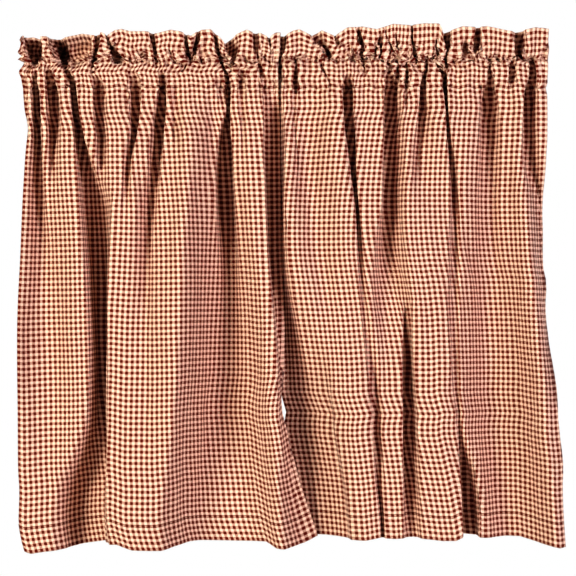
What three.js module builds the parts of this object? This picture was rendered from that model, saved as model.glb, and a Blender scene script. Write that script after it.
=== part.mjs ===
// A pair of short tier curtains: two panels of small-check cotton gathered side by side on one rod.
// Millimetres, +Z up, +X to the viewer's right; the face of the cloth looks towards -Y.
// The origin is on the axis of the rod pocket, where the two panels meet.
import * as THREE from "three";

const PANEL_WIDTH = 432; // finished width of one panel laid flat, 17 inches
const CLOTH = 2.2; // thickness of the sheet
const HEADER_CLOTH = 3; // the header is two layers, the face and the part turned to the back
const HEM_Z = -545;
const SEAM_Z = -17; // lower row of stitching of the rod pocket
const STITCH_Z = 16; // upper row of stitching, at the foot of the ruffled header
const POCKET_STAND = 12; // how far each layer of the pocket stands from the rod's axis, on average
const POCKET_LOOSENESS = 0.2; // share of the fold depth that is left where the cloth goes round the rod
const CHECK_COLOUR = 0xb4806e; // burgundy and cream checks, seen as one colour
const CHECK_ROUGHNESS = 0.9;
const FACET = 9.3; // width of cloth that one facet takes

// The charted depth of a section's folds is scaled between these limits, halving the step each time.
const DEPTH_SCALES = [0.5, 2];
const DEPTH_HALVINGS = 12;

// Heights at which the folds are charted.
const CHARTED_Z = [SEAM_Z, -95, -230, -400, HEM_Z];

// Fold charts: a row for each ridge or valley, from left to right. Its place across, then how far it
// stands out towards the viewer, both at the pocket seam, chest, waist, knee and hem; then how round it
// is, and how far the hem hangs below its nominal height there.
const LEFT_FOLDS = [
  // line     across: seam chest waist knee hem    out: seam chest waist knee hem  round drop
  ["side edge", [-305, -301, -306, -308, -303], [7, 2, 4, 0, 0], 4, 9],
  ["valley", [-291, -287, -287, -291, -288], [-10, -8, -6, -2, 0], 4, 10],
  ["ridge", [-281, -277, -271, -274, -271], [6, 5, 3, 2, 2], 4, 8],
  ["valley", [-269, -266, -262, -262, -260], [-11, -4, 0, 0, 0], 4, 7],
  ["ridge", [-254, -249, -246, -246, -246], [8, 9, 10, 6, 4], 5, 4],
  ["deep valley", [-243, -233, -224, -216, -223], [-9, -14, -26, -22, -14], 4, 1],
  ["its floor", [-228, -221, -217, -211, -216], [6, -4, -26, -26, -16], 4, 0],
  ["deep valley", [-216, -210, -209, -206, -206], [-6, -12, -28, -26, -14], 4, 0],
  ["ridge", [-193, -196, -190, -193, -188], [9, 10, 8, 14, 14], 6, -3],
  ["short valley", [-170, -177, -176, -183, -181], [-7, -9, 12, 20, 18], 5, -2],
  ["short ridge", [-156, -163, -167, -174, -174], [7, 8, 14, 22, 20], 5, 0],
  ["short valley", [-140, -147, -157, -164, -167], [-9, -12, 12, 24, 22], 4, 1],
  ["broad ridge", [-125, -132, -141, -155, -160], [9, 12, 18, 26, 24], 6, 2],
  ["its shoulder", [-86, -91, -110, -139, -153], [10, 15, 22, 28, 26], 8, 3],
  ["valley side", [-69, -75, -72, -93, -97], [-10, -22, -20, -36, -30], 3, 4],
  ["valley side", [-62, -62, -61, -44, -24], [-10, -24, -22, -16, -8], 4, 2],
  ["last ridge", [-41, -38, -29, -14, -3], [8, 12, 18, 22, 22], 8, 6],
  ["inner edge", [-13, -15, -11, -2, 41], [-6, -20, -20, -10, -6], 3, -4],
];
const RIGHT_FOLDS = [
  ["inner edge", [-11, -24, -28, 2, 14], [-12, -36, -38, -34, -30], 3, 0],
  ["tuck", [-6, -8, -6, 14, 33], [-12, -36, -36, -33, -32], 3, 0],
  ["broad ridge", [2, 2, 9, 27, 48], [7, 8, 9, -22, -18], 5, -2],
  ["its shoulder", [65, 71, 84, 80, 92], [9, 14, 18, 20, 18], 6, -5],
  ["valley", [73, 79, 92, 107, 116], [-9, -10, 12, -12, -14], 3, -3],
  ["ridge", [97, 101, 106, 126, 132], [8, 10, 14, 12, 10], 6, -6],
  ["deep valley", [126, 126, 122, 135, 140], [-16, -26, -18, 12, 8], 5, -7],
  ["ridge", [139, 140, 135, 140, 143], [5, 6, 8, 10, 6], 4, -7],
  ["low valley", [146, 147, 142, 147, 151], [2, 4, 2, -24, -22], 3, -4],
  ["ridge", [154, 155, 160, 164, 169], [7, 10, 12, 14, 12], 5, -5],
  ["short valley", [163, 164, 174, 178, 183], [-9, 4, 14, 16, 14], 4, -5],
  ["ridge", [176, 179, 189, 193, 206], [8, 10, 14, 14, 12], 6, -4],
  ["valley", [188, 195, 200, 204, 219], [-8, -6, 2, 2, -26], 3, -5],
  ["ridge", [210, 213, 220, 227, 234], [9, 10, 8, 4, 2], 8, -6],
  ["deep valley", [239, 243, 246, 253, 260], [-20, -18, -8, -10, -12], 5, -6],
  ["step", [250, 257, 268, 277, 284], [-4, -6, -8, -14, -16], 4, -2],
  ["ridge", [266, 273, 284, 297, 309], [8, 10, 12, 14, 14], 6, 0],
  ["valley", [288, 285, 301, 310, 319], [-16, -14, 6, 6, 8], 5, 0],
  ["side edge", [306, 306, 307, 317, 326], [4, 4, -4, 0, 4], 4, 3],
];

// Ruffle charts: a row for each ridge or valley of the header. Its place across at the foot, on the
// stitching, and at the top edge; how far it stands out at the top; and the height of the top edge there.
const LEFT_RUFFLE = [
  // foot   top  out  height
  [-305, -308, 8, 39],
  [-299, -302, 9, 41],
  [-285, -292, -11, 43],
  [-275, -277, 6, 43],
  [-259, -267, -9, 42],
  [-241, -240, 7, 44],
  [-224, -217, -9, 45],
  [-211, -210, 6, 47],
  [-194, -203, -9, 44],
  [-168, -178, 9, 51],
  [-150, -151, -7, 46],
  [-130, -132, 8, 51],
  [-111, -112, -8, 44],
  [-104, -101, -9, 46],
  [-83, -85, 9, 51],
  [-68, -65, -9, 38],
  [-47, -43, 8, 51],
  [-28, -24, -8, 43],
  [-12, -11, 5, 47],
];
const RIGHT_RUFFLE = [
  [-8, -8, -4, 44],
  [0, -2, -11, 43],
  [17, 18, 9, 51],
  [50, 37, -8, 44],
  [60, 51, 7, 47],
  [67, 61, -4, 44],
  [81, 76, 9, 54],
  [92, 92, -8, 52],
  [101, 103, 6, 52],
  [110, 113, -8, 51],
  [127, 132, 9, 56],
  [146, 148, -5, 56],
  [165, 168, 9, 57],
  [193, 190, -9, 47],
  [207, 208, 7, 53],
  [223, 226, -10, 53],
  [244, 248, 9, 52],
  [272, 274, -10, 47],
  [291, 294, 8, 51],
  [306, 307, 4, 52],
];
const RUFFLE_ROUND = 5;
const RUFFLE_FOOT = 0.15; // share of the ruffle's depth that is left at its stitched foot
const RUFFLE_TOP = 50; // nominal height of the header's top edge

// Levels of the sheet's facets, from the hem up; the pocket is open at those in the middle list.
const PANEL_ROWS = [HEM_Z, -480, -415, -350, -285, -225, -170, -120, -80, -45, SEAM_Z];
const POCKET_ROWS = [-13, -7, 0, 7, 12];
const HEADER_ROWS = [STITCH_Z, 24, 35, RUFFLE_TOP];
const ROWS = [...PANEL_ROWS, ...POCKET_ROWS, ...HEADER_ROWS];

// Value at height z of a line charted at CHARTED_Z, on a smooth curve through its charted values.
function along(values, z) {
  const last = CHARTED_Z.length - 1;
  let i = 0;
  while (i < last - 1 && z < CHARTED_Z[i + 1]) i += 1;
  const slope = (k) => {
    const above = Math.max(k - 1, 0);
    const below = Math.min(k + 1, last);
    return (values[below] - values[above]) / (CHARTED_Z[below] - CHARTED_Z[above]);
  };
  const span = CHARTED_Z[i + 1] - CHARTED_Z[i];
  const t = (z - CHARTED_Z[i]) / span;
  const ease = t * t * (3 - 2 * t);
  const bend = t * (1 - t) * span * ((1 - t) * slope(i) - t * slope(i + 1));
  return values[i] * (1 - ease) + values[i + 1] * ease + bend;
}

// The cloth's line seen from above: one curve from each ridge or valley to the next, level at both.
function sectionThrough(lines, depthScale) {
  return lines.slice(1).map((b, i) => {
    const a = lines[i];
    const [fromOut, toOut] = [a.out * depthScale, b.out * depthScale];
    return new THREE.CubicBezierCurve(
      new THREE.Vector2(a.x, fromOut),
      new THREE.Vector2(a.x + a.round, fromOut),
      new THREE.Vector2(b.x - b.round, toOut),
      new THREE.Vector2(b.x, toOut),
    );
  });
}

// Cloth doesn't stretch, so the folds are made just deep enough for the section to be a panel wide.
function fittedSection(lines) {
  const width = (section) => section.reduce((sum, curve) => sum + curve.getLength(), 0);
  let [shallow, deep] = DEPTH_SCALES;
  for (let i = 0; i < DEPTH_HALVINGS; i += 1) {
    const middle = (shallow + deep) / 2;
    if (width(sectionThrough(lines, middle)) < PANEL_WIDTH) shallow = middle;
    else deep = middle;
  }
  return sectionThrough(lines, deep);
}

// Points of a section, with as many facets to each of its curves as counts gives.
function pointsOf(section, counts) {
  const points = [section[0].getPoint(0)];
  section.forEach((curve, i) => {
    for (let k = 1; k <= counts[i]; k += 1) points.push(curve.getPointAt(k / counts[i]));
  });
  return points;
}

// The same number of points for a section whose curves don't match the facets: equal steps of cloth.
function evenPointsOf(section, count) {
  const path = new THREE.CurvePath();
  for (const curve of section) path.add(curve);
  return Array.from({ length: count + 1 }, (_, i) => path.getPoint(i / count));
}

const mixed = (a, b, share) => a.map((point, i) => point.clone().lerp(b[i], share));

// Every level of one panel, by height: hanging folds up to the pocket's seam, the ruffle from the
// stitching up, and the pocket's cloth between them. With them comes the hem's drop at each column.
function levelsOf(folds, ruffle) {
  const foldsAt = (z) =>
    folds.map(([, x, out, round]) => ({ x: along(x, z), out: along(out, z), round }));
  const seamSection = fittedSection(foldsAt(SEAM_Z));
  const counts = seamSection.map((curve) => Math.max(Math.round(curve.getLength() / FACET), 1));
  const columns = counts.reduce((sum, count) => sum + count, 0);
  const levels = new Map();
  for (const z of PANEL_ROWS) levels.set(z, pointsOf(fittedSection(foldsAt(z)), counts));
  const crest = ruffle.map(([, x, out]) => ({ x, out, round: RUFFLE_ROUND }));
  const gathered = ruffle.map(([x, , out]) => ({ x, out: out * RUFFLE_FOOT, round: 0 }));
  const top = evenPointsOf(fittedSection(crest), columns);
  const foot = evenPointsOf(sectionThrough(gathered, 1), columns);
  for (const z of POCKET_ROWS) {
    const share = (z - SEAM_Z) / (STITCH_Z - SEAM_Z);
    levels.set(z, mixed(levels.get(SEAM_Z), foot, share));
  }
  for (const z of HEADER_ROWS) {
    const share = (z - STITCH_Z) / (RUFFLE_TOP - STITCH_Z);
    levels.set(z, mixed(foot, top, Math.sqrt(share)));
  }
  const drops = counts.flatMap((count, i) => {
    const [drop, nextDrop] = [folds[i].at(-1), folds[i + 1].at(-1)];
    return Array.from({ length: count }, (_, k) => drop + ((nextDrop - drop) * k) / count);
  });
  drops.push(folds.at(-1).at(-1));
  return { levels, drops };
}

// Direction square to the cloth at one of a level's points, towards the viewer.
function squareTo(level, column) {
  const before = level[Math.max(column - 1, 0)];
  const after = level[Math.min(column + 1, level.length - 1)];
  const run = after.clone().sub(before).normalize();
  return new THREE.Vector2(-run.y, run.x);
}

// Height of the header's top edge above its nominal height, at a place across.
function crestRise(ruffle, x) {
  let i = 0;
  while (i < ruffle.length - 2 && x > ruffle[i + 1][1]) i += 1;
  const [, left, , leftHeight] = ruffle[i];
  const [, right, , rightHeight] = ruffle[i + 1];
  const share = THREE.MathUtils.clamp((x - left) / (right - left), 0, 1);
  return THREE.MathUtils.lerp(leftHeight, rightHeight, share) - RUFFLE_TOP;
}

// How far open the pocket is at a height, from 0 at its seams to 1: a half ellipse.
function openness(z) {
  const middle = (STITCH_Z + SEAM_Z) / 2;
  const half = (STITCH_Z - SEAM_Z) / 2;
  return Math.sqrt(Math.max(1 - ((z - middle) / half) ** 2, 0));
}

// The side view of the cloth, as cells between its levels. A point is its height, its layer (the
// pocket's FACE or BACK layer, or SINGLE elsewhere) and the side of that layer that it lies on.
const [FACE, SINGLE, BACK] = [1, 0, -1];
function sideView() {
  const isOpen = (z) => POCKET_ROWS.includes(z);
  const cells = [];
  for (let i = 0; i + 1 < ROWS.length; i += 1) {
    const [low, high] = [ROWS[i], ROWS[i + 1]];
    if (isOpen(low) || isOpen(high)) {
      const outer = (z, layer) => (isOpen(z) ? [z, layer, layer] : [z, SINGLE, layer]);
      const inner = (z, layer) => (isOpen(z) ? [z, layer, -layer] : [z, SINGLE, 0]);
      cells.push([outer(low, FACE), outer(high, FACE), inner(high, FACE), inner(low, FACE)]);
      cells.push([inner(low, BACK), inner(high, BACK), outer(high, BACK), outer(low, BACK)]);
    } else {
      const cell = [[low, SINGLE, FACE], [high, SINGLE, FACE], [high, SINGLE, BACK], [low, SINGLE, BACK]];
      if (high === SEAM_Z) cell.splice(2, 0, [high, SINGLE, 0]);
      if (low === STITCH_Z) cell.push([low, SINGLE, 0]);
      cells.push(cell);
    }
  }
  return cells;
}

// A closed solid: the cells make both ends, and each of their outer edges is drawn out into a wall.
function drawnOut(cells, columns, place) {
  const names = new Map();
  for (const point of cells.flat()) names.set(point.join(" "), point);
  const points = [...names.values()];
  const order = new Map([...names.keys()].map((name, i) => [name, i]));
  const at = (point, column) => column * points.length + order.get(point.join(" "));
  const index = [];
  const edges = new Map();
  for (const cell of cells) {
    for (let k = 1; k + 1 < cell.length; k += 1) {
      index.push(at(cell[0], 0), at(cell[k], 0), at(cell[k + 1], 0));
      index.push(at(cell[0], columns), at(cell[k + 1], columns), at(cell[k], columns));
    }
    cell.forEach((from, k) => {
      const to = cell[(k + 1) % cell.length];
      if (!edges.delete(`${to} to ${from}`)) edges.set(`${from} to ${to}`, [from, to]);
    });
  }
  for (const [from, to] of edges.values()) {
    for (let column = 0; column < columns; column += 1) {
      const [a, b] = [at(from, column), at(to, column)];
      const [c, d] = [at(to, column + 1), at(from, column + 1)];
      // Both faces of the cloth are split along the same diagonal, so that it keeps its thickness.
      if (from[0] < to[0]) index.push(a, c, b, a, d, c);
      else index.push(a, d, b, b, d, c);
    }
  }
  const corners = [];
  for (let column = 0; column <= columns; column += 1)
    for (const point of points) corners.push(place(point, column));
  const geometry = new THREE.BufferGeometry().setFromPoints(corners);
  geometry.setIndex(index);
  geometry.computeVertexNormals();
  return geometry;
}

// One panel of the pair, hanging from its pocket.
function panel(name, folds, ruffle) {
  const { levels, drops } = levelsOf(folds, ruffle);
  const place = ([z, layer, side], column) => {
    const level = levels.get(z);
    const { x, y: out } = level[column];
    const open = layer === SINGLE ? 0 : openness(z);
    const looseness = 1 - open * (1 - POCKET_LOOSENESS);
    const stand = out * looseness + layer * open * POCKET_STAND;
    const thickness = z > STITCH_Z ? HEADER_CLOTH : CLOTH;
    const square = squareTo(level, column).multiplyScalar((side * thickness) / 2);
    // The uneven top edge and hem are shared out over the cloth, the hem's mostly low down.
    const ruffled = Math.max((z - STITCH_Z) / (RUFFLE_TOP - STITCH_Z), 0);
    const hung = Math.max((z - SEAM_Z) / (HEM_Z - SEAM_Z), 0);
    const height = z + ruffled * crestRise(ruffle, x) - hung ** 2 * drops[column];
    return new THREE.Vector3(x + square.x, -stand - square.y, height);
  };
  const columns = levels.get(SEAM_Z).length - 1;
  const cotton = new THREE.MeshStandardMaterial({
    color: CHECK_COLOUR,
    roughness: CHECK_ROUGHNESS,
    metalness: 0,
  });
  const mesh = new THREE.Mesh(drawnOut(sideView(), columns, place), cotton);
  mesh.name = name;
  return mesh;
}

const group = new THREE.Group();
group.add(panel("tier_left", LEFT_FOLDS, LEFT_RUFFLE));
group.add(panel("tier_right", RIGHT_FOLDS, RIGHT_RUFFLE));

export default group;
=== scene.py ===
import math

import bmesh
import bpy
import numpy as np
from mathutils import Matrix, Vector


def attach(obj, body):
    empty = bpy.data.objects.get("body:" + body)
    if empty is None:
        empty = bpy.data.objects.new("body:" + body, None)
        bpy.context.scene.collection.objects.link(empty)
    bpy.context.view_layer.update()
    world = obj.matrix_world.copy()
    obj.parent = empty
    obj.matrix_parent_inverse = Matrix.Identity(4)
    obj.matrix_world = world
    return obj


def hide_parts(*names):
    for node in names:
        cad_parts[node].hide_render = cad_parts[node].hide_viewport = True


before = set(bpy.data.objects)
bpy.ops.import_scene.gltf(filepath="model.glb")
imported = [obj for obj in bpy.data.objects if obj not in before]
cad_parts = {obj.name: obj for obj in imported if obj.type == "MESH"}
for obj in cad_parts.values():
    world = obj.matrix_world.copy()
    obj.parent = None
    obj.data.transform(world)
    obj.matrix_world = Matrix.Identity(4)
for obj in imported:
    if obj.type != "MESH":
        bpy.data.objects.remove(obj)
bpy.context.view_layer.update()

# ---------------------------------------------------------------------------------------------------
# The two tier panels. Each is one length of yarn-dyed 1/8 inch gingham, a plain-weave cotton. Its sides
# and foot are hemmed, and its top is turned to the back and sewn along two rows, which makes a rod
# pocket with a ruffled header above it. Both are pushed together on one rod, and hang in their folds.

# Sizes are in millimetres, as a maker would measure them: across from the middle, out to the front, and
# height over the rod's middle.
PANEL_WIDTH = 432  # 17 inches, finished and laid flat
HEM_Z = -545  # the foot
SEAM_Z = -17  # the lower row of stitching, at the foot of the rod pocket
STITCH_Z = 16  # the upper row, at the foot of the header
RUFFLE_TOP = 50  # the header's nominal top edge
HEM_DEPTH = 31  # turned up at the foot
SIDE_HEM = 11  # turned back at each side
POCKET_DEPTH = 36  # between the rows of stitching, laid flat
HEADER_DEPTH = 34  # from the upper row to the top edge, laid flat
FRONT_BULGE = 5  # how far the pocket's front bulges at the rod
BACK_BULGE = 7.5  # and its back
CLOTH = 0.34  # its thickness
LAYER_GAP = 0.7  # from one layer of a hem to the next
MM = 0.001

# The broad folds, a row for each turn of the cloth from left to right: its place across, then how far it
# stands out, both at the heights of FORM_Z.
FORM_Z = [50, 16, -17, -60, -100, -150, -200, -300, -400, -500, -545]
LEFT_FORM = [
    ([-304, -303, -304, -302, -300, -302, -303, -306, -305, -304, -300],
     [3, 1, 1, 0, 4, 7, 7, 10, 6, 2, 2]),
    ([-290, -288, -288, -284, -280, -278, -277, -275, -275, -280, -280],
     [5, 4, 3, 4, 4, -1, -10, -13, -5, 1, 1]),
    ([-250, -250, -252, -249, -246, -243, -241, -238, -246, -262, -262],
     [6, 5, 7, 10, 16, 19, 18, 11, 5, 2, 2]),
    ([-205, -222, -195, -188, -189, -172, -177, -184, -183, -172, -170],
     [6, 5, 7, 17, 18, 20, 19, 17, 20, 37, 35]),
    ([-160, -160, -160, -162, -165, -156, -155, -160, -160, -166, -166],
     [6, 5, 7, 11, 16, 7, 7, 14, 22, 37, 36]),
    ([-138, -138, -132, -134, -134, -138, -138, -146, -152, -160, -160],
     [7, 5, 7, 6, 11, 13, 19, 25, 26, 37, 36]),
    ([-110, -110, -108, -109, -109, -112, -116, -120, -130, -143, -144],
     [8, 5, 8, 17, 23, 26, 31, 36, 33, 35, 34]),
    ([-95, -95, -92, -92, -94, -96, -95, -96, -101, -110, -110],
     [7, 5, 7, 10, 13, 13, 8, -2, -9, -8, -7]),
    ([-80, -80, -80, -80, -82, -83, -84, -81, -84, -94, -95],
     [6, 4, 5, 0, 1, -1, -6, -29, -37, -24, -21]),
    ([-60, -62, -66, -66, -68, -65, -63, -65, -69, -58, -62],
     [5, 4, 3, 2, 0, -14, -19, -35, -41, -25, -20]),
    ([-50, -50, -56, -56, -55, -52, -48, -40, -34, -22, -20],
     [6, 5, 5, 7, 7, -2, -6, -16, -19, -8, -5]),
    ([-30, -34, -42, -42, -41, -33, -29, -21, -13, -3, -2],
     [7, 5, 8, 11, 13, 11, 12, 12, 14, 11, 12]),
    ([60, 60, 60, 60, 60, 60, 60, 60, 60, 60, 60],
     [4, 3, 4, 6, 6, 6, 6, 4, -4, -20, -18]),
]
RIGHT_FORM = [
    ([-9, -6, -8, -8, -8, -6, -5, 2, 6, 33, 36],
     [4, 3, 4, 6, 7, 6, 6, -24, -41, -41, -41]),
    ([15, 10, 2, 2, 6, 9, 13, 40, 54, 72, 76],
     [6, 5, 6, 6, 7, 7, 8, 0, -10, -20, -18]),
    ([40, 40, 32, 28, 28, 34, 39, 52, 60, 76, 80],
     [5, 5, 2, -4, -8, -10, -4, 2, 10, 5, 6]),
    ([70, 64, 62, 62, 66, 70, 74, 84, 86, 95, 100],
     [7, 5, 10, 18, 17, 13, 14, 4, 25, 14, 14]),
    ([100, 100, 96, 96, 97, 97, 97, 106, 124, 125, 128],
     [7, 5, 8, 12, 11, 11, 11, 5, 14, 11, 10]),
    ([150, 150, 147, 147, 146, 150, 158, 172, 180, 191, 200],
     [8, 5, 7, 11, 10, 11, 13, 4, 18, 18, 17]),
    ([162, 162, 160, 162, 159, 168, 170, 179, 184, 194, 203],
     [8, 5, 6, 8, -2, 7, 11, 4, 18, 18, 17]),
    ([178, 178, 180, 182, 184, 186, 184, 187, 190, 198, 207],
     [8, 5, 8, 17, 5, 2, 7, 2, 17, 17, 16]),
    ([210, 208, 207, 207, 208, 209, 207, 204, 208, 230, 237],
     [7, 5, 8, 12, 6, 0, -1, -5, 11, 10, 7]),
    ([245, 250, 242, 242, 243, 245, 246, 244, 244, 256, 262],
     [7, 5, 2, 0, -7, -24, -31, -38, -26, -18, -17]),
    ([268, 262, 262, 262, 260, 262, 264, 272, 276, 288, 292],
     [7, 5, 4, 4, -1, -19, -18, -20, -10, -4, -2]),
    ([292, 275, 274, 273, 271, 282, 286, 295, 304, 312, 315],
     [6, 4, 8, 10, 6, -4, 0, 9, 32, 32, 30]),
    ([310, 308, 308, 308, 307, 306, 306, 309, 318, 325, 327],
     [3, 2, 2, 2, 0, -28, -26, -12, 22, 24, 22]),
]

# The side edges of each panel: height and place across.
LEFT_SIDE = [
    (50, -303), (43, -303), (31, -308), (10, -301), (0, -307), (-6, -305), (-40, -303), (-65, -298),
    (-95, -300), (-200, -305), (-300, -308.5), (-450, -308.5), (-478, -307), (-510, -308), (-530, -305),
    (-545, -301),
]
LEFT_INNER = [
    (50, -3), (30, -4), (16, -5), (-18, -5.5), (-40, -4), (-100, -3), (-200, -2.5), (-250, 0), (-300, 2),
    (-345, 2), (-370, -1), (-392, -1), (-405, 2), (-420, 5.5), (-440, 10), (-480, 20), (-520, 33),
    (-545, 41),
]
RIGHT_INNER = [
    (50, -9), (36, -8.5), (16, -8.5), (-17, -8), (-40, -6), (-60, -8), (-200, -7), (-250, -5), (-300, -4),
    (-345, -3), (-372, -3), (-386, 0), (-396, 3.5), (-404, 3.5), (-414, 1), (-440, 4), (-480, 10),
    (-545, 16),
]
RIGHT_SIDE = [
    (50, 308), (0, 308), (-85, 307.5), (-95, 306.5), (-170, 306), (-220, 306), (-245, 309.5), (-270, 308),
    (-310, 310.5), (-370, 317.5), (-400, 318), (-455, 323.5), (-475, 323), (-545, 327),
]

# The inner edge of each panel, turned back. Its rows are like those of the creases below.
LEFT_EDGE_FOLD = [
    (14, -30, -29, -27, -26, 3), (0, -27, -25.5, -24, -22.5, 7), (-10, -25, -24, -14, -8, 7),
    (-18, -24, -22.7, 80, 81, 8), (-60, -23, -21.5, 80, 81, 26), (-100, -22.5, -20.5, 80, 81, 34),
    (-150, -20.5, -18, 80, 81, 36), (-200, -18, -15.5, 80, 81, 36), (-250, -14, -12, 80, 81, 36),
    (-300, -10, -7, 80, 81, 34), (-345, -7, -3, 80, 81, 34), (-370, -6, -1, 80, 81, 22),
    (-392, -6, 0, 80, 81, 14), (-430, -4, 8, 80, 81, 17), (-480, -6, 15, 80, 81, 22),
    (-520, -4, 21, 80, 81, 23), (-545, -2, 26, 80, 81, 22),
]
RIGHT_EDGE_FOLD = [
    (50, -40, -39, 2, 6, 10), (35, -40, -39, 1.5, 4.5, 12), (25, -40, -39, -2, 1, 12),
    (16, -40, -39, -4, -1, 12), (8, -40, -39, -4, 0, 16), (0, -40, -39, -4, 0, 18),
    (-10, -40, -39, -4, 0, 19), (-17, -40, -39, -4, 0, 16), (-30, -40, -39, -3, 1, 17),
    (-40, -40, -39, -3, 1, 20), (-60, -40, -39, -2.5, 2, 30), (-100, -40, -39, -2.5, 2.5, 41),
    (-150, -40, -39, -2.5, 3, 42), (-200, -40, -39, -2, 4, 43), (-250, -40, -39, 0, 10, 28),
    (-300, -40, -39, 3, 24, 12), (-345, -40, -39, 4, 30, 5), (-390, -40, -39, 4, 30, 0),
]

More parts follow.
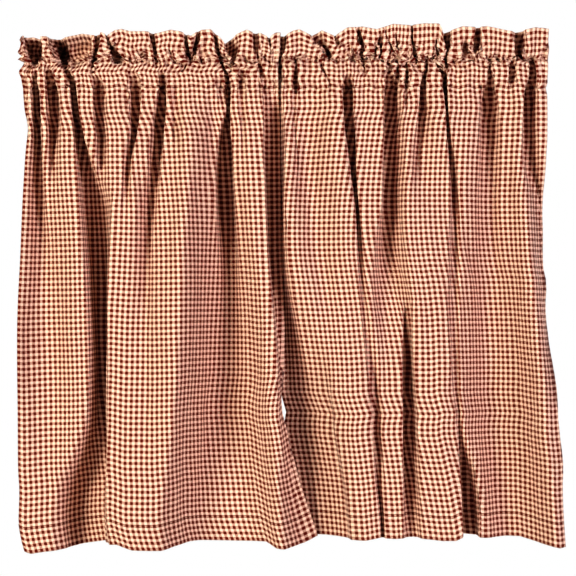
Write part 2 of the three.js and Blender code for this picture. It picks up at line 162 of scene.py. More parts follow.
# The sunk folds and creases. Each is listed downwards: height, where its left wall begins and ends
# across, where its right wall begins and ends, and its depth.
LEFT_CREASES = [
    # the side edge, turned back
    [(0, -340, -339, -299, -298, 0), (-15, -340, -339, -298.5, -297, 8.5),
     (-45, -340, -339, -298, -296, 11.5), (-60, -340, -339, -297, -296, 8),
     (-80, -340, -339, -297, -295, 0)],
    [(6, -291, -290, -289, -288, 0), (-20, -293.5, -291.5, -286, -284, 20),
     (-45, -293, -290.5, -284.5, -282.5, 24), (-80, -294, -290, -285, -280, 23),
     (-120, -298, -290, -285, -277, 21), (-160, -298, -289, -285, -275, 17),
     (-200, -298, -286, -284, -272, 8), (-260, -298, -286, -284, -272, 0)],
    [(8, -278, -277, -275, -273, 0), (-8, -277, -275, -267, -264, 18),
     (-30, -276, -273.5, -265, -259, 26), (-60, -275, -272, -265, -257, 24),
     (-90, -274, -270, -266, -256, 14), (-140, -273, -268, -266, -254, 0)],
    # the deep fold left of the middle
    [(12, -259, -258, -255, -253, 4.5), (-5, -252, -250, -245, -243, 16),
     (-20, -249, -247, -241, -239.5, 24), (-50, -246, -244.5, -237, -235, 28),
     (-95, -240.5, -238.5, -228, -225, 30), (-125, -238, -235, -224, -206, 32),
     (-150, -237, -231, -212, -196, 38), (-200, -234, -224, -209, -198, 43),
     (-250, -230, -219, -208.5, -202, 43), (-300, -227, -217, -207.5, -202.5, 42),
     (-350, -226, -216, -207.5, -203, 42), (-400, -230, -216, -208, -203.5, 43),
     (-440, -246, -222, -208, -203, 48), (-480, -268, -232, -209, -203, 54),
     (-520, -272, -235, -210, -202, 54), (-545, -268, -232, -211, -200, 50)],
    [(-2, -222, -221, -216, -214, 0), (-12, -221, -219.5, -213, -208, 13),
     (-30, -220.5, -218.5, -212, -203, 19), (-60, -219, -216.5, -211, -202, 17),
     (-100, -217, -214, -210, -201, 13), (-140, -214, -210, -209, -200, 0)],
    # the slanting fold
    [(8, -180, -179, -178, -177, 0), (-10, -180, -178, -167, -165, 11),
     (-30, -178, -176, -166, -164.5, 18), (-60, -178, -175, -169.5, -168, 18),
     (-90, -183, -179, -175, -173, 15.5), (-115, -186, -182, -178, -175, 10.5),
     (-165, -190, -186, -182, -180, 0)],
    [(4, -145, -144, -142, -141, 0), (-8, -144, -142.5, -138, -136, 12.5),
     (-30, -147, -145, -137, -135.5, 21), (-60, -153, -149, -139, -137.5, 23.5),
     (-100, -156, -151, -144, -140, 21), (-140, -162, -155, -150, -143, 14.5),
     (-180, -166, -158, -155, -148, 11), (-230, -170, -160, -157, -150, 5.5),
     (-290, -170, -161, -158, -150, 0)],
    [(-12, -130, -128, -124, -118, 0), (-25, -130, -127, -123, -116, 5.5),
     (-60, -130, -127, -124, -114, 6.5), (-100, -124, -121, -120, -113, 0)],
    [(-4, -80, -79, -72, -68, 0), (-13, -79, -77.5, -70, -67, 7), (-26, -75, -73, -69, -67, 7),
     (-40, -70, -69, -68, -67, 0)],
    # the great fold right of the middle
    [(26, -79, -78, -76.5, -76, 0), (16, -74.5, -74, -72, -71.3, 8), (5, -70, -69, -67, -66, 8.5),
     (-5, -68, -66.5, -63, -61.5, 15), (-20, -69, -67, -62, -60, 19), (-40, -67, -66, -62, -61.2, 22),
     (-60, -72, -69, -63, -61, 26), (-90, -77, -73, -61, -59, 32), (-130, -80, -75, -60, -57, 32),
     (-170, -79, -73, -59, -55, 27), (-220, -77, -70, -57, -50, 14.5), (-280, -77, -68, -57, -48, 5.5),
     (-330, -77, -68, -57, -48, 0)],
    [(8, -46, -45, -44, -43, 0), (-2, -51, -50, -46, -44, 7), (-14, -52, -50, -47, -44, 7),
     (-30, -52, -49, -47, -42, 5), (-60, -51, -48, -46, -41, 5), (-100, -50, -47, -46, -40, 2.5),
     (-150, -50, -47, -46, -40, 0)],
    # creases of the header
    [(52, -270, -264, -222, -214, 4), (42, -269, -262, -224, -216, 16), (31, -267, -260, -227, -219, 28),
     (22, -265, -258, -232, -223, 27), (14, -263, -256, -238, -229, 12), (5, -262, -255, -242, -234, 0)],
    [(50, -303, -300, -284, -280, 34), (30, -300, -297, -283, -279, 32), (18, -296, -293, -284, -280, 25),
     (10, -291, -289, -287, -285, 6), (3, -291, -289, -287, -285, 0)],
    [(50, -274, -270, -262, -250, 30), (30, -268, -265.5, -257, -250, 28),
     (20, -264, -262, -256, -251, 20), (12, -259, -258, -254, -251, 8), (5, -257, -256, -253, -251, 0)],
    [(50, -219, -217, -213, -211.5, 15.5), (30, -221, -219, -215, -213, 17),
     (20, -223, -221.5, -218.5, -217, 12.5), (12, -224, -223, -220, -219, 8),
     (4, -224, -223, -221, -220, 4), (-6, -224, -223, -221, -220, 0)],
    [(50, -206, -205.5, -204.5, -203.5, 6), (35, -203, -202, -199.5, -198.5, 14),
     (25, -200, -199.5, -195, -193.5, 18.5), (17, -199, -198.5, -189, -187, 18.5),
     (13, -198, -197, -190, -187, 8), (10, -198, -197, -190, -187, 0)],
    [(50, -156, -154, -151, -149, 14), (35, -153.5, -151.5, -149, -147, 12.5),
     (25, -151, -150, -148, -146, 9.5), (15, -150, -149, -147, -145, 4.5),
     (8, -149, -148, -146, -144, 0)],
    [(50, -116, -114.5, -111.5, -110.5, 14), (35, -115, -113.5, -110.5, -109.5, 15.5),
     (22, -113.5, -112, -108, -106.5, 15.5), (13, -110, -109, -106.5, -105.5, 12.5),
     (9, -110, -109, -106, -105, 0)],
    [(50, -100, -99, -97, -95.5, 9.5), (40, -104, -102.5, -98, -96, 15.5),
     (30, -106, -105, -101, -99, 15.5), (20, -107.5, -106.5, -104, -102.5, 11),
     (14, -108, -107, -105, -104, 0)],
    [(50, -82, -81, -78, -76.5, 9.5), (35, -80, -78.5, -75, -73.5, 14),
     (25, -78, -76.5, -73.5, -72.5, 14), (17, -75, -74, -72, -71, 6), (12, -74, -73, -71, -70, 0)],
    [(50, -69, -67, -60, -52, 15.5), (38, -68, -66, -60, -52, 17), (28, -64, -62, -55, -50, 18.5),
     (20, -60, -58.5, -54.5, -53, 14), (15, -60, -59, -57, -56, 6), (8, -61, -60.5, -59, -58, 4),
     (-3, -61, -60.5, -59, -58, 0)],
    [(50, -36, -34, -31, -27, 11), (35, -35, -33.5, -30, -26, 12.5), (26, -33, -32, -29.5, -28, 9.5),
     (20, -31, -30, -29, -28, 4.5), (15, -31, -30, -29, -28, 0)],
    [(50, -18, -17, -15.5, -14.5, 8), (30, -16, -15, -14, -13, 4.5), (22, -16, -15, -14, -13, 0)],
    [(40, -181, -180, -179, -178, 0), (30, -175.5, -174.5, -173, -172, 3),
     (20, -165, -164, -163, -162, 3), (12, -158, -157, -156.5, -155.5, 2.5),
     (8, -155, -154, -153, -152, 0)],
    [(32, -134, -133.5, -132.5, -132, 0), (24, -132, -131, -130, -129, 4.5),
     (17, -129, -128, -126, -125, 4.5), (12, -127, -126, -125, -124, 0)],
]
RIGHT_CREASES = [
    [(22, 10.5, 11.5, 12.5, 13.5, 0), (10, 13, 13.5, 16, 16.5, 11), (-2, 12.5, 13.2, 17.5, 18.2, 11),
     (-15, 11, 12, 16.5, 18, 8.5), (-24, 10.5, 12, 15, 17, 3), (-40, 11, 12.5, 13.5, 15, 2.5),
     (-90, 13.5, 15, 16.5, 18, 4), (-130, 17, 18.5, 19.5, 21, 2.5), (-180, 18, 20, 20, 22, 0)],
    [(16, 42, 42.5, 43, 43.5, 0), (5, 44, 44.7, 45.5, 46.2, 4), (-5, 49, 50, 50.5, 52, 4),
     (-14, 53, 54, 55, 56, 3), (-30, 52, 53, 55, 57, 0)],
    [(-2, 69.5, 70.5, 80, 82, 0), (-10, 69.5, 70.5, 80, 82, 11), (-20, 69, 70, 80.5, 82, 19.5),
     (-60, 71, 72.5, 82, 83.5, 22), (-100, 75.5, 77, 83.5, 85, 23.5), (-140, 80.5, 82, 86.5, 88, 17),
     (-180, 84, 86, 89, 91, 13), (-220, 86, 88.5, 91, 95, 9), (-280, 91, 93, 95, 103, 5.5),
     (-330, 97, 99, 101, 112, 7.5), (-380, 101.5, 103, 107, 116, 13), (-430, 103, 105, 109, 117, 13),
     (-480, 107, 109, 112.5, 117, 12), (-520, 112, 113.5, 117, 119, 12),
     (-545, 113, 114.5, 117.5, 119.5, 10)],
    [(12, 120, 121, 123, 124, 3), (0, 119.5, 120.5, 125, 127, 11), (-12, 117.5, 119, 131, 135, 18),
     (-30, 117, 118.5, 131, 138, 28), (-60, 116, 118.5, 130, 142, 30), (-100, 115.5, 118.5, 128, 144, 31),
     (-150, 115, 118, 127, 145, 30), (-200, 106, 118, 126, 146, 28), (-235, 101, 119, 127, 150, 24),
     (-265, 100, 120, 129, 154, 17), (-300, 98, 121, 133, 160, 11), (-340, 98, 121, 138, 162, 6),
     (-390, 98, 121, 140, 164, 0)],
    [(17, 131.5, 132, 133.5, 134, 0), (10, 131.5, 132, 134, 134.5, 9.5), (-5, 131, 132, 134.5, 135, 8.5),
     (-18, 131, 132, 135, 136, 0)],
    [(19, 143, 143.7, 146, 146.5, 0), (10, 143, 143.7, 146, 146.5, 11), (-5, 142.5, 143, 145, 146, 11),
     (-15, 141.5, 142.2, 144, 145, 10), (-30, 141, 142, 143, 145, 5),
     (-45, 141.5, 142.5, 143.5, 145, 2.5), (-80, 141.5, 142.5, 143.5, 145, 0)],
    [(18, 166, 166.5, 168, 168.5, 1.5), (5, 165, 165.7, 168, 168.7, 12.5),
     (-10, 160.5, 161.5, 165.5, 166.5, 15.5), (-20, 159, 160, 165, 166.5, 15.5),
     (-40, 157, 160, 165, 169, 14.5), (-60, 155, 159, 163, 173, 13), (-80, 152, 157, 160, 168, 9),
     (-100, 149, 154, 156, 161, 8), (-130, 149, 153, 155, 160, 0)],
    [(20, 175, 175.7, 177, 178, 0), (14, 176, 176.7, 178, 179, 4.5), (5, 180, 181, 183, 184, 8.5),
     (-2, 184.5, 185.5, 189.5, 190.5, 17), (-15, 186, 187, 190.5, 191.5, 19.5),
     (-40, 187.5, 188.5, 191, 192, 17), (-70, 190, 191, 193, 195, 14.5), (-100, 192, 194, 197, 200, 15.5),
     (-150, 194, 198, 200, 206, 13), (-200, 191, 198, 201, 207, 10), (-260, 191, 197, 200, 207, 9),
     (-330, 193, 199, 201, 207, 7.5), (-390, 199, 202, 203.5, 208, 7.5), (-430, 203, 205, 207, 212, 11),
     (-455, 205, 207, 214, 219, 24), (-480, 206, 208, 220, 224, 32), (-510, 207, 209, 224, 228, 34),
     (-545, 208, 210, 226, 229, 34)],
    [(14, 239, 240, 241, 242, 4.5), (2, 238.5, 239.5, 242, 243, 11), (-10, 236, 239, 244, 246, 18),
     (-25, 230, 236, 246, 250, 24), (-50, 227, 234, 248, 254, 22), (-80, 226, 235, 248, 256, 17),
     (-120, 226, 236, 248, 256, 9.5), (-170, 226, 236, 248, 256, 5), (-230, 226, 236, 248, 256, 0)],
    [(15, 262, 264, 268, 269.5, 0), (8, 262, 264, 268, 269.5, 11), (-5, 262, 264, 269, 270, 12.5),
     (-14, 262, 265, 268, 270, 5.5), (-20, 262, 265, 268, 270, 0)],
    # beside the right edge
    [(18, 285, 286, 293, 294, 4.5), (8, 286.5, 288, 293, 294.5, 14), (-8, 284, 287, 293, 295, 18),
     (-20, 281, 283, 293, 295.5, 24), (-60, 278, 281.5, 291, 296, 23.5), (-85, 277, 282, 292, 298, 21),
     (-110, 279, 285, 295, 300, 18), (-140, 286, 295, 300, 304, 7), (-170, 290, 299, 302, 306, 5),
     (-210, 292, 300, 304, 309, 3.5), (-250, 296, 305, 310, 312, 0)],
    # a fold that opens below the middle
    [(-262, 143, 144, 147, 148, 0), (-285, 140, 142, 148, 150, 9), (-320, 138.5, 141, 149, 152, 17.5),
     (-360, 138, 141, 150, 154, 25.5), (-430, 138.5, 141.5, 151, 157, 26.5),
     (-480, 138, 143, 153, 160, 21), (-520, 138, 145, 154, 162, 15.5), (-545, 138, 146, 156, 163, 13)],
    # creases of the header
    [(50, 33, 34, 38, 46, 9.5), (40, 36, 37.5, 42, 50, 14), (32, 44, 45.5, 49, 55, 15.5),
     (24, 50, 51, 54.5, 57, 18.5), (19, 50.5, 51.5, 54.5, 56, 12.5), (14, 51, 52, 54, 55, 0)],
    [(50, 59, 60, 61, 63, 6), (35, 63, 64, 64.5, 66, 3), (25, 69, 70, 70.5, 72, 0)],
    [(48, 84, 85, 88, 90, 4.5), (37, 87.5, 89, 92, 93.5, 15.5), (28, 90.3, 91.3, 94, 95, 17),
     (19, 90.5, 91.3, 93.5, 94.5, 12.5), (12, 92, 92.5, 94, 95, 8), (4, 94, 94.5, 95.5, 96, 3),
     (-4, 94.5, 95, 96, 96.5, 0)],
    [(32, 81, 82, 83, 84, 0), (24, 80.5, 81.5, 82.5, 83.5, 6), (17, 79, 80, 81, 82, 3),
     (13, 79, 80, 81, 82, 0)],
    [(46, 113, 113.7, 114.3, 115, 0), (34, 109, 110.5, 114.5, 116, 11),
     (27, 111.5, 112, 114.5, 115.5, 15.5), (20, 112, 112.5, 114, 115, 11), (15, 112, 112.5, 114, 115, 0)],
    [(34, 108.5, 109, 110, 110.5, 0), (27, 107.5, 108, 109.5, 110, 8), (18, 107, 107.5, 109, 109.5, 0)],
    [(50, 116, 116.7, 117.3, 118, 1.5), (35, 121.5, 122.2, 123, 124, 4.5), (25, 127, 127.7, 129, 130, 8),
     (18, 130, 130.6, 132, 133, 6), (13, 131, 131.6, 133, 134, 0)],
    [(44, 129, 129.6, 130.4, 131, 0), (30, 131.5, 132.2, 133, 134, 8), (22, 133, 133.6, 134.6, 135.4, 8),
     (17, 133, 133.6, 134.6, 135.4, 0)],
    [(56, 147, 148, 149, 150, 6), (42, 148.5, 149.3, 150.5, 151.5, 8), (30, 150, 150.7, 152.5, 153.5, 11),
     (22, 150.3, 151.2, 153.5, 154.7, 14), (18, 150, 151, 154, 155.5, 9.5), (14, 150, 151, 154, 155, 0)],
    [(38, 176.5, 177, 177.6, 178, 0), (28, 176.8, 177.4, 178.6, 179.2, 8), (20, 178, 178.7, 180, 181, 8),
     (12, 181, 181.7, 183, 184, 6), (6, 183, 183.7, 185, 186, 0)],
    [(50, 184, 186, 193, 197, 12.5), (38, 187, 188.5, 193, 195, 18.5), (28, 189, 190, 192.5, 194, 15.5),
     (20, 189.5, 190, 191.5, 192.5, 11), (10, 189, 189.7, 191, 192, 8), (2, 189, 189.7, 191, 192, 0)],
    [(38, 210, 211.5, 213, 214.5, 0), (28, 208.5, 209.5, 213.5, 215, 14),
     (20, 208.5, 209.5, 212, 213.5, 11), (14, 208.5, 209.5, 211, 212, 0)],
    [(50, 222, 224, 228.5, 229.5, 11), (40, 221.5, 223.5, 228.5, 229.5, 17),
     (30, 221, 223, 227.5, 229.5, 17), (22, 219, 220.5, 223.5, 225, 12.5), (16, 219, 220.5, 222, 223, 0)],
    [(50, 264, 272, 278.5, 280.5, 17), (38, 267, 272, 279, 281, 20), (28, 268, 272, 278, 280, 20),
     (21, 270, 272, 277.5, 279, 15.5), (15, 275, 276, 279, 280, 4.5), (11, 275, 276, 279, 280, 0)],
]

# How far the header's top edge leans forward: place across and amount.
HEADER_LEAN = [(-310, 16), (-230, 15), (-190, 6), (-140, 3), (150, 3), (190, 8), (230, 12), (310, 12)]

# The header's top edge and the hem's lower edge: place across and height.
LEFT_TOP = [
    (-310, 30), (-306, 34), (-302, 43), (-292, 43.5), (-284, 41), (-250, 41), (-233, 44.5), (-219, 43),
    (-210, 46.5), (-204, 42.5), (-195, 49), (-187, 50.5), (-178, 48), (-158, 48), (-147, 45.5),
    (-130, 50), (-118, 47.5), (-107, 42.5), (-97, 49.5), (-84, 50.5), (-73, 41), (-68, 35), (-54, 45),
    (-42, 50), (-34, 46.5), (-26, 46), (-15.5, 40.5), (-9, 46.5),
]
RIGHT_TOP = [
    (-8, 44.5), (0, 42.5), (12, 49), (19, 50.5), (33, 43.5), (45, 49.3), (60, 42.8), (75, 52.5),
    (92, 53.5), (109, 50.5), (128, 56.5), (147, 55), (165, 57), (181, 56.5), (187, 46), (208, 53),
    (226, 52), (236, 53), (262, 47.5), (271, 47), (293, 51.8), (308, 50),
]
LEFT_HEM = [
    (-301, -557), (-294, -559.5), (-270, -556.5), (-245, -553.5), (-207, -547), (-192, -546),
    (-174, -552), (-140, -552.5), (-108, -546), (-60, -546.5), (-20, -546), (-8, -552.5), (2, -553.5),
    (25, -549), (41, -541.5),
]
RIGHT_HEM = [
    (16, -541), (50, -541), (75, -543), (96, -543), (112, -540), (130, -541.5), (152, -540), (185, -543),
    (200, -543), (211, -538), (235, -540.5), (277, -540.5), (300, -546.5), (320, -550), (327, -549),
]

# Gathers that the stitching draws in: their spacing, height at the stitching, how far they run from it
# before they fade, and the length over which they turn into others.
GATHERS = [
    # spacing height reach turn
    (5, 1.3, 6, 26),
    (9, 2.1, 10, 44),
    (17, 2.1, 20, 90),
]
GATHER_RIDGE = 0.6  # a gather's ridge is low and round
GATHER_VALLEY = 2.8  # and its valley is deep and narrow
ROW_PULL = {SEAM_Z: 0.5, STITCH_Z: 1.2}  # how tightly each row of stitching is drawn
# How the stitching pulls the cloth up and down: spacing, amount and reach.
PULLS = [(30, 2, 16), (14, 0.9, 8)]
# Slow waves of the hanging cloth: spacing across, height, and their spacing up and down.
WAVES = [(41, 0.9, 330), (24, 0.5, 170), (12, 0.15, 90)]
WAVES_WHOLE = -60  # the height below which they are whole, and above which they fade out
STEP_RANGE = (0.55, 1.45)  # how unlike each other gathers and waves are: the least and most spacing
HEIGHT_RANGE = (0.35, 1.15)  # and height
SAMPLES = 3000  # points along each level of the cloth
FADE = 4  # millimetres over which a crease starts or ends
NARROWEST = 0.3  # millimetres across, the least that a fold's wall takes
DRAPE = 70  # millimetres up and down over which the cloth's columns keep straight
DRAPE_ACROSS = 7  # millimetres across over which a fold may push the columns aside
EDGE_POWER = 4  # the cloth left over at a level is taken up by the columns nearest the right edge
HALVINGS = 16  # how often the search for a level's depth halves its range


def smooth(low, high, value):
    """A soft step from 0 at the low value to 1 at the high one."""
    share = np.clip((value - low) / np.maximum(high - low, NARROWEST), 0, 1)
    return share * share * (3 - 2 * share)


def through(points, at):
    """The height at a place on a smooth curve through (place, height) points, level at each top and dip."""
    places, heights = np.array(sorted(points), float).T
    steps = np.diff(places)
    rises = np.diff(heights) / steps
    slopes = np.concatenate([rises[:1], rises])
    turning = rises[:-1] * rises[1:] <= 0
    even = np.where(turning, 1, rises[:-1] + rises[1:])
    slopes[1:-1] = np.where(turning, 0, 2 * rises[:-1] * rises[1:] / even)
    at = np.clip(at, places[0], places[-1])
    i = np.clip(np.searchsorted(places, at, side="right") - 1, 0, len(steps) - 1)
    t = (at - places[i]) / steps[i]
    ease = t * t * (3 - 2 * t)
    bend = t * (1 - t) * steps[i] * ((1 - t) * slopes[i] - t * slopes[i + 1])
    return heights[i] * (1 - ease) + heights[i + 1] * ease + bend


def cloth_along(points):
    """The length of a line from its start to each of its points."""
    steps = np.hypot(*np.diff(points, axis=0).T)
    return np.concatenate([[0], np.cumsum(steps)])


def cloth_of(points):
    """The cloth from the side edge to each point of a level. What a level has over or under the panel's
    width is given to its steep walls, so that the checks keep their size where the cloth faces front."""
    low, high = 0.05, 3  # the least and most share of its depth that a level keeps
    for _ in range(HALVINGS):
        give = (low + high) / 2
        if cloth_along(points * (1, give))[-1] < PANEL_WIDTH:
            low = give
        else:
            high = give
    along = cloth_along(points * (1, high))
    return along / along[-1] * PANEL_WIDTH


def ripple(rng, spacing):
    """Uneven ridges and valleys by turns, at uneven steps along the cloth."""
    count = int(PANEL_WIDTH / spacing * 2) + 6  # a few more than the width takes
    places = np.cumsum(rng.uniform(*STEP_RANGE, count) * spacing / 2) - spacing
    heights = rng.uniform(*HEIGHT_RANGE, count) * np.where(np.arange(count) % 2, 1, -1)
    return through(list(zip(places, heights)), np.linspace(0, PANEL_WIDTH, SAMPLES))


class Panel:
    """One panel as it hangs."""

    def __init__(self, edges, form, edge_fold, creases, top, hem, seed):
        self.edges = edges
        self.form = form
        self.creases = [edge_fold] + creases
        self.top = top
        self.hem = hem
        rng = np.random.default_rng(seed)
        self.gathers = [
            (ripple(rng, spacing), ripple(rng, spacing), height * ROW_PULL[row], row, reach, turn)
            for row in (SEAM_Z, STITCH_Z)
            for spacing, height, reach, turn in GATHERS
        ]
        self.pulls = [
            (ripple(rng, spacing) * amount * ROW_PULL[row], row, reach)
            for row in (SEAM_Z, STITCH_Z)
            for spacing, amount, reach in PULLS
        ]
        self.waves = [
            (ripple(rng, spacing) * height, ripple(rng, spacing) * height, drop)
            for spacing, height, drop in WAVES
        ]

    def sunk(self, z, x):
        """How far folds and creases lie behind the broad form."""
        depth = np.zeros_like(x)
        for rows in self.creases:
            over = max(z - rows[0][0], rows[-1][0] - z, 0)
            if over < FADE:
                heights, *columns = zip(*rows)
                left, floor_left, floor_right, right, deep = (
                    through(list(zip(heights, values)), z) for values in columns
                )
                wall = smooth(left, floor_left, x) * (1 - smooth(floor_right, right, x))
                depth += wall * deep * (1 - smooth(0, FADE, over))
        return depth

    def small(self, z):
        """How far the small gathers and slow waves stand out along a level of the cloth."""
        total = 0
        for first, second, height, row, reach, turn in self.gathers:
            angle = 2 * math.pi * z / turn
            out = first * math.cos(angle) + second * math.sin(angle)
            pinched = np.where(out < 0, -GATHER_VALLEY * out**2, GATHER_RIDGE * out)
            total = total + pinched * height * math.exp(-abs(z - row) / reach)
        for first, second, drop in self.waves:
            angle = 2 * math.pi * z / drop
            out = first * math.cos(angle) + second * math.sin(angle)
            total = total + out * (1 - smooth(WAVES_WHOLE, 0, z))
        return total

    def pulled(self, z):
        """How far the stitching lifts or drops the cloth along a level."""
        return sum(lift * math.exp(-abs(z - row) / reach) for lift, row, reach in self.pulls)

    def level(self, z):
        """The cloth's line at height z as seen from above: its places across before the small gathers,
        and its points across and out."""
        x = np.linspace(*(through(edge, z) for edge in self.edges), SAMPLES)
        ridges = [
            (through(list(zip(FORM_Z, across)), z), through(list(zip(FORM_Z, out)), z))
            for across, out in self.form
        ]
        points = np.stack([x, through(ridges, x) - self.sunk(z, x)], 1)
        run = np.gradient(points, axis=0)
        run /= np.hypot(*run.T)[:, None]
        along = cloth_along(points)
        small = np.interp(along / along[-1], np.linspace(0, 1, SAMPLES), self.small(z))
        return x, points + np.stack([-run[:, 1], run[:, 0]], 1) * small[:, None]


def draped(panel, heights):
    """The panel's lines at these heights, and the cloth up to each point of each. The cloth's columns
    hang straight, as far as the folds let them, because each line takes after those above and below."""
    starts, lines = zip(*[panel.level(z) for z in heights])
    near = np.exp(-(((heights[:, None] - heights) / DRAPE) ** 2) / 2) * np.gradient(heights)
    near /= near.sum(1)[:, None]
    place = np.linspace(min(x[0] for x in starts), max(x[-1] for x in starts), SAMPLES)
    own = [cloth_of(points) for points in lines]
    own_at = np.array([
        np.interp(place, x, along) + np.minimum(place - x[0], 0) + np.maximum(place - x[-1], 0)
        for x, along in zip(starts, own)
    ])
    changes = near @ own_at - own_at
    # A bell curve, cut off at three times its spread.
    spreads = np.arange(-3, 3, (place[1] - place[0]) / DRAPE_ACROSS)
    weights = np.exp(-(spreads**2) / 2)
    weights /= weights.sum()
    half = len(weights) // 2
    cloth = []
    for x, along, change in zip(starts, own, changes):
        eased = np.convolve(np.pad(change, half, mode="edge"), weights, mode="same")[half:-half]
        along = along + np.interp(x, place, eased)
        along -= along[0]
        cloth.append(along + (along / along[-1]) ** EDGE_POWER * (PANEL_WIDTH - along[-1]))
    return lines, cloth


# The cloth's length in stretches, in this order, from its turned-up hem to the turned end of the pocket.
HEM_UP, DROP, DROP_TOP, POCKET, HEADER, HEADER_BEHIND, POCKET_BEHIND, TURNED_END = range(8)
DROP_TOP_Z = -80  # the rows of mesh lie closer together above this, where the gathers are
END_LENGTH = 4
STRETCHES = [
    # Each: where it starts and ends, its length of cloth, its rows of mesh, and how many layers behind
    # the face it lies.
    (HEM_Z + HEM_DEPTH, HEM_Z, HEM_DEPTH, 3, 1),
    (HEM_Z, DROP_TOP_Z, DROP_TOP_Z - HEM_Z, 38, 0),
    (DROP_TOP_Z, SEAM_Z, SEAM_Z - DROP_TOP_Z, 17, 0),
    (SEAM_Z, STITCH_Z, POCKET_DEPTH, 14, 0),
    (STITCH_Z, RUFFLE_TOP, HEADER_DEPTH, 14, 0),
    (RUFFLE_TOP, STITCH_Z, HEADER_DEPTH, 6, 1.5),
    (STITCH_Z, SEAM_Z, POCKET_DEPTH, 7, 1.5),
    (SEAM_Z, SEAM_Z - END_LENGTH, END_LENGTH, 1, 1.5),
]
HEADER_SWELL = 1.5  # layers, how far the header's back stands off half-way up
COLUMNS = 448
SIDE_COLUMNS = 3
TURN = 0.1  # of a row, how near the next row lies to a turned edge
SLOPE_STEP = 0.6  # millimetres of cloth to each side, over which its slope is taken
TOP_LINE = 1  # millimetres of the header's edge that the stitching doesn't pull


def rows_of_cloth():
    """(height, share of the stretch, cloth from the start, stretch) of every row of the mesh."""
    rows = [(STRETCHES[0][0], 0.0, 0.0, HEM_UP)]
    start = 0
    for number, (low, high, cloth, count, _) in enumerate(STRETCHES):
        shares = [k / count for k in range(1, count + 1)]
        if number in (HEM_UP, HEADER):
            shares.insert(-1, 1 - TURN / count)
        if number in (DROP, HEADER_BEHIND):
            shares.insert(0, TURN / count)
        for share in shares:
            rows.append((low + (high - low) * share, share, start + cloth * share, number))
        start += cloth
    return rows


def layers_behind(number, share):
    """How many layers of cloth a row lies behind the face. A turned edge is half-way between two."""
    behind = STRETCHES[number][-1]
    if share == 1 and number < TURNED_END:
        behind = (behind + STRETCHES[number + 1][-1]) / 2
    if number == HEADER_BEHIND:
        behind += HEADER_SWELL * math.sin(math.pi * share)
    return behind


def points_at(wanted, along, points):
    """Where a level's line stands, across and out, at each of the wanted lengths of cloth."""
    return np.array([np.interp(wanted, along, values) for values in points.T])


def hung(panel):
    """Where each point of a panel's flat cloth hangs, rows by columns, in millimetres, with the flat
    cloth's own places across and along."""
    rows = rows_of_cloth()
    across = np.linspace(0, 1, COLUMNS + 1)
    side = np.arange(SIDE_COLUMNS, 0, -1) * SIDE_HEM / SIDE_COLUMNS / PANEL_WIDTH
    shares = np.concatenate([side, across, 1 - side[::-1]])
    side_layers = np.concatenate([np.ones(SIDE_COLUMNS), np.zeros(COLUMNS + 1), np.ones(SIDE_COLUMNS)])
    side_layers[[SIDE_COLUMNS, -SIDE_COLUMNS - 1]] = 0.5
    cloth_u = np.concatenate([-side, across, 1 + side[::-1]]) * PANEL_WIDTH
    cloth_v = np.array([row[2] for row in rows])
    places = np.zeros((len(rows), len(shares), 3))
    heights = np.array(sorted({round(row[0], 3) for row in rows}))
    lines, cloth = draped(panel, heights)
    wanted = shares * PANEL_WIDTH
    foot, _ = points_at(wanted, cloth[0], lines[0])
    drop = HEM_Z - np.interp(foot, *zip(*panel.hem))
    for r, (z, share, _, number) in enumerate(rows):
        k = np.searchsorted(heights, round(z, 3))
        x, out = points_at(wanted, cloth[k], lines[k])
        run = points_at(wanted + SLOPE_STEP, cloth[k], lines[k])
        run -= points_at(wanted - SLOPE_STEP, cloth[k], lines[k])
        run /= np.hypot(*run)
        gap = (side_layers + layers_behind(number, share)) * LAYER_GAP
        x += run[1] * gap
        out -= run[0] * gap
        if SEAM_Z < z < STITCH_Z:
            t = (2 * z - STITCH_Z - SEAM_Z) / (STITCH_Z - SEAM_Z)
            out += math.sqrt(1 - t * t) * (FRONT_BULGE if number == POCKET else -BACK_BULGE)
        height = np.full(len(shares), float(z))
        if z < SEAM_Z:
            height -= ((z - SEAM_Z) / (HEM_Z - SEAM_Z)) ** 2 * drop
        if z > STITCH_Z:
            ruffled = (z - STITCH_Z) / (RUFFLE_TOP - STITCH_Z)
            height += ruffled * (np.interp(x, *zip(*panel.top)) - RUFFLE_TOP)
            out += ruffled * np.interp(x, *zip(*HEADER_LEAN))
        if z < RUFFLE_TOP - TOP_LINE:
            height += np.interp(shares, np.linspace(0, 1, SAMPLES), panel.pulled(z))
        places[r] = np.stack([x, -out, height], 1)
    return places, cloth_u, cloth_v


def made_panel(name, panel):
    """A panel's mesh: a flat grid of cloth, one unit wide and tall, whose points are moved to where they
    hang, and which then gets its thickness."""
    places, cloth_u, cloth_v = hung(panel)
    row_count, column_count = places.shape[:2]
    mesh = bmesh.new()
    bmesh.ops.create_grid(mesh, x_segments=column_count - 1, y_segments=row_count - 1, size=0.5)
    uv = mesh.loops.layers.uv.new("cloth")
    for vert in mesh.verts:
        column = round((vert.co.x + 0.5) * (column_count - 1))
        row = round((vert.co.y + 0.5) * (row_count - 1))
        for loop in vert.link_loops:
            loop[uv].uv = (cloth_u[column] * MM, cloth_v[row] * MM)
        vert.co = Vector(places[row, column]) * MM
    for face in mesh.faces:
        face.smooth = True
    data = bpy.data.meshes.new(name)
    mesh.to_mesh(data)
    mesh.free()
    made = bpy.data.objects.new(name, data)
    bpy.context.scene.collection.objects.link(made)
    thick = made.modifiers.new("thickness", "SOLIDIFY")
    thick.thickness = CLOTH * MM
    thick.offset = -1
    thick.use_even_offset = False
    return made


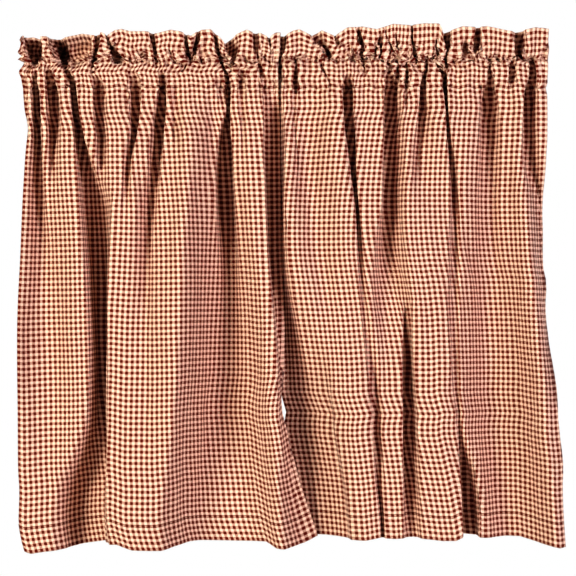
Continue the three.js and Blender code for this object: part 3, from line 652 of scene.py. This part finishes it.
left = made_panel(
    "tier_panel_left",
    Panel(
        (LEFT_SIDE, LEFT_INNER), LEFT_FORM, LEFT_EDGE_FOLD, LEFT_CREASES, LEFT_TOP, LEFT_HEM, seed=3
    ),
)
right = made_panel(
    "tier_panel_right",
    Panel(
        (RIGHT_INNER, RIGHT_SIDE), RIGHT_FORM, RIGHT_EDGE_FOLD, RIGHT_CREASES, RIGHT_TOP, RIGHT_HEM, seed=4
    ),
)


# Yarn-dyed plain-weave cotton: burgundy and cream yarns in stripes both ways, which cross as dark
# squares, light squares and squares of both yarns, and blend to a soft brick red from afar. The cloth
# is matt, with a faint bloom of loose fibre. Its hem, pocket and header are topstitched in burgundy.
CHECK = 6.35  # from one dark square to the next, 1/4 inch
YARN = CHECK / 16  # a coarser yarn than the real 0.3 mm, so that it shows
BURGUNDY = "67251b"
CREAM = "efccbb"
THREAD = "4e2019"  # of the stitching
DYED_SHARE = 0.53  # of the cloth's yarns, each way
FLUFF = 0.06  # how much of the dyed yarn shows between pale ones that cross it
STITCH = 2.6  # from one stitch to the next
STITCH_LENGTH = 1.7
STITCH_DIP = 1.5  # how deep a stitch pulls the cloth in, in heights of a yarn
THREAD_WIDTH = 0.7
# The rows of stitching, measured along the cloth from the hem's turned end.
HEM_ROWS = (HEM_DEPTH * 2 - 4.5, HEM_DEPTH * 2 - 2)
SEAM_ROW = HEM_DEPTH + SEAM_Z - HEM_Z
HEADER_ROW = SEAM_ROW + POCKET_DEPTH


def linear(code):
    """An sRGB hex colour as linear numbers."""
    values = [int(code[k : k + 2], 16) / 255 for k in (0, 2, 4)]
    return [v / 12.92 if v <= 0.04045 else ((v + 0.055) / 1.055) ** 2.4 for v in values] + [1]


def add(tree, kind, links=(), **settings):
    """Adds a node with its settings and linked or set inputs, and returns its outputs."""
    node = tree.nodes.new(kind)
    for key, value in settings.items():
        setattr(node, key, value)
    for key, value in dict(links).items():
        if isinstance(value, bpy.types.NodeSocket):
            tree.links.new(value, node.inputs[key])
        else:
            node.inputs[key].default_value = value
    return node.outputs


def gingham():
    """The checked cloth, drawn on its own map, whose unit is a metre of flat cloth."""
    material = bpy.data.materials.new("plain-weave cotton gingham")
    material.use_nodes = True
    tree = material.node_tree
    tree.nodes.clear()
    math_kind = "ShaderNodeMath"
    uv = add(tree, "ShaderNodeUVMap", uv_map="cloth")[0]
    across, along = add(tree, "ShaderNodeSeparateXYZ", {0: uv})[:2]

    # Which yarns are dyed, and where each yarn of the weave lies, both ways.
    dyed, numbers, rounds = [], [], []
    for place in (across, along):
        in_check = add(tree, math_kind, {0: place, 1: CHECK * MM}, operation="FLOORED_MODULO")[0]
        stripe = CHECK * MM * DYED_SHARE
        dyed.append(add(tree, math_kind, {0: in_check, 1: stripe}, operation="LESS_THAN")[0])
        yarn = add(tree, math_kind, {0: place, 1: YARN * MM}, operation="DIVIDE")[0]
        numbers.append(add(tree, math_kind, {0: yarn}, operation="FLOOR")[0])
        rounds.append(add(tree, math_kind, {0: yarn, 1: 0.5}, operation="PINGPONG")[0])
    crossing = add(tree, math_kind, {0: numbers[0], 1: numbers[1]}, operation="ADD")[0]
    on_top = add(tree, math_kind, {0: crossing, 1: 2.0}, operation="FLOORED_MODULO")[0]
    shown = add(tree, "ShaderNodeMix", {0: on_top, 2: dyed[0], 3: dyed[1]}, data_type="FLOAT")[0]
    either = add(tree, math_kind, {0: dyed[0], 1: dyed[1]}, operation="MAXIMUM")[0]
    between = add(tree, math_kind, {0: either, 1: FLUFF}, operation="MULTIPLY")[0]
    colour_share = add(tree, math_kind, {0: shown, 1: between}, operation="MAXIMUM")[0]
    cloth = add(
        tree, "ShaderNodeMix", {0: colour_share, 6: linear(CREAM), 7: linear(BURGUNDY)}, data_type="RGBA"
    )[2]

    # Rows of stitches, which lie on the cloth as dashes of thread.
    in_stitch = add(tree, math_kind, {0: across, 1: STITCH * MM}, operation="FLOORED_MODULO")[0]
    dash = add(tree, math_kind, {0: in_stitch, 1: STITCH_LENGTH * MM}, operation="LESS_THAN")[0]
    thread = 0.0
    for row in (*HEM_ROWS, SEAM_ROW, HEADER_ROW):
        on_row = add(
            tree, math_kind, {0: along, 1: row * MM, 2: THREAD_WIDTH * MM / 2}, operation="COMPARE"
        )[0]
        thread = add(tree, math_kind, {0: thread, 1: on_row}, operation="MAXIMUM")[0]
    stitched = add(tree, math_kind, {0: thread, 1: dash}, operation="MULTIPLY")[0]
    colour = add(tree, "ShaderNodeMix", {0: stitched, 6: cloth, 7: linear(THREAD)}, data_type="RGBA")[2]

    # Each yarn is round and dips under the next, and the stitches pull the cloth in.
    weave = add(tree, math_kind, {0: rounds[0], 1: rounds[1]}, operation="ADD")[0]
    height = add(tree, math_kind, {0: thread, 1: -STITCH_DIP, 2: weave}, operation="MULTIPLY_ADD")[0]
    bump = add(tree, "ShaderNodeBump", {"Height": height, "Strength": 0.25, "Distance": 0.2 * MM})[0]
    shader = add(
        tree,
        "ShaderNodeBsdfPrincipled",
        {
            "Base Color": colour,
            "Roughness": 0.9,
            "Specular IOR Level": 0.2,
            "Sheen Weight": 0.15,
            "Sheen Roughness": 0.5,
            "Normal": bump,
        },
    )[0]
    add(tree, "ShaderNodeOutputMaterial", {0: shader})
    return material


# Each panel is cut 464 by 721 mm, with its hems, its turned-back top and the raw edges turned in.
cotton = gingham()
for piece, node in ((left, "tier_left"), (right, "tier_right")):
    piece.data.materials.append(cotton)
    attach(piece, "root")
    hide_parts(node)

# ---------------------------------------------------------------------------------------------------
# The camera stands straight in front of the pair, at the height of its middle, and the floor, the room
# and the light are plain and soft. Metres.
VIEW_WIDTH = 0.671  # what the picture takes in at the curtains
VIEW_DISTANCE = 2.55
VIEW_X = 0.0058  # the middle of the pair as it hangs
MIDDLE_Z = -0.25
SENSOR = 36  # millimetres
camera_data = bpy.data.cameras.new("camera")
camera_data.sensor_width = SENSOR
camera_data.lens = SENSOR * VIEW_DISTANCE / VIEW_WIDTH
camera = bpy.data.objects.new("camera", camera_data)
camera.location = (VIEW_X, -VIEW_DISTANCE, MIDDLE_Z)
camera.rotation_euler = (math.radians(90), 0, 0)
bpy.context.scene.collection.objects.link(camera)
bpy.context.scene.camera = camera


def softbox(name, place, size, watts, colour):
    """A square lamp that faces the middle of the curtains."""
    data = bpy.data.lights.new(name, "AREA")
    data.shape = "SQUARE"
    data.size = size
    data.energy = watts
    data.color = colour
    lamp = bpy.data.objects.new(name, data)
    lamp.location = place
    facing = Vector((0, 0, MIDDLE_Z)) - Vector(place)
    lamp.rotation_euler = facing.to_track_quat("-Z", "Y").to_euler()
    bpy.context.scene.collection.objects.link(lamp)


# A warmer lamp at the left and a cooler one at the right graze the folds, and leave their hollows dark.
softbox("left light", (-2.18, -2.33, 0.3), 1.1, 120, (0.965, 0.965, 0.82))
softbox("right light", (2.18, -2.33, 0.3), 1.1, 86, (0.965, 0.935, 0.97))
softbox("fill light", (0, -3.4, 1.2), 2.0, 10, (1, 0.96, 0.93))
softbox("left back light", (-2.2, 2.3, 0.3), 1.1, 45, (1, 0.96, 0.92))
softbox("right back light", (2.2, 2.3, 0.3), 1.1, 38, (1, 0.96, 0.92))

# The room is white to the eye, and only the lamps light the cloth.
world = bpy.data.worlds.new("room")
world.use_nodes = True
world.node_tree.nodes["Background"].inputs[0].default_value = (1, 1, 1, 1)
world.cycles_visibility.diffuse = False
world.cycles_visibility.glossy = False
world.cycles_visibility.transmission = False
bpy.context.scene.world = world

# Matt pale paint on a round floor, which gives the light that falls on it back softly.
FLOOR_Z = -1.25
FLOOR_RADIUS = 3.5
floor_mesh = bmesh.new()
bmesh.ops.create_circle(floor_mesh, cap_ends=True, segments=96, radius=FLOOR_RADIUS)
bmesh.ops.translate(floor_mesh, verts=floor_mesh.verts, vec=(0, 0, FLOOR_Z))
floor_data = bpy.data.meshes.new("floor")
floor_mesh.to_mesh(floor_data)
floor_mesh.free()
floor = bpy.data.objects.new("floor", floor_data)
bpy.context.scene.collection.objects.link(floor)
paint = bpy.data.materials.new("pale floor paint")
paint.use_nodes = True
paint_shader = paint.node_tree.nodes["Principled BSDF"]
paint_shader.inputs["Base Color"].default_value = linear("dedcd8")
paint_shader.inputs["Roughness"].default_value = 0.9
floor_data.materials.append(paint)

# The picture's contrast: the dark yarns and hollows are shown deeper, and the light tones as they are.
view = bpy.context.scene.view_settings
view.view_transform = "Standard"
view.use_curve_mapping = True
TONES = ((0.05, 0.0095), (0.1, 0.033), (0.2, 0.105), (0.35, 0.245), (0.5, 0.41), (0.75, 0.7))
for light, shown in TONES:
    view.curve_mapping.curves[3].points.new(light, shown)
view.curve_mapping.update()
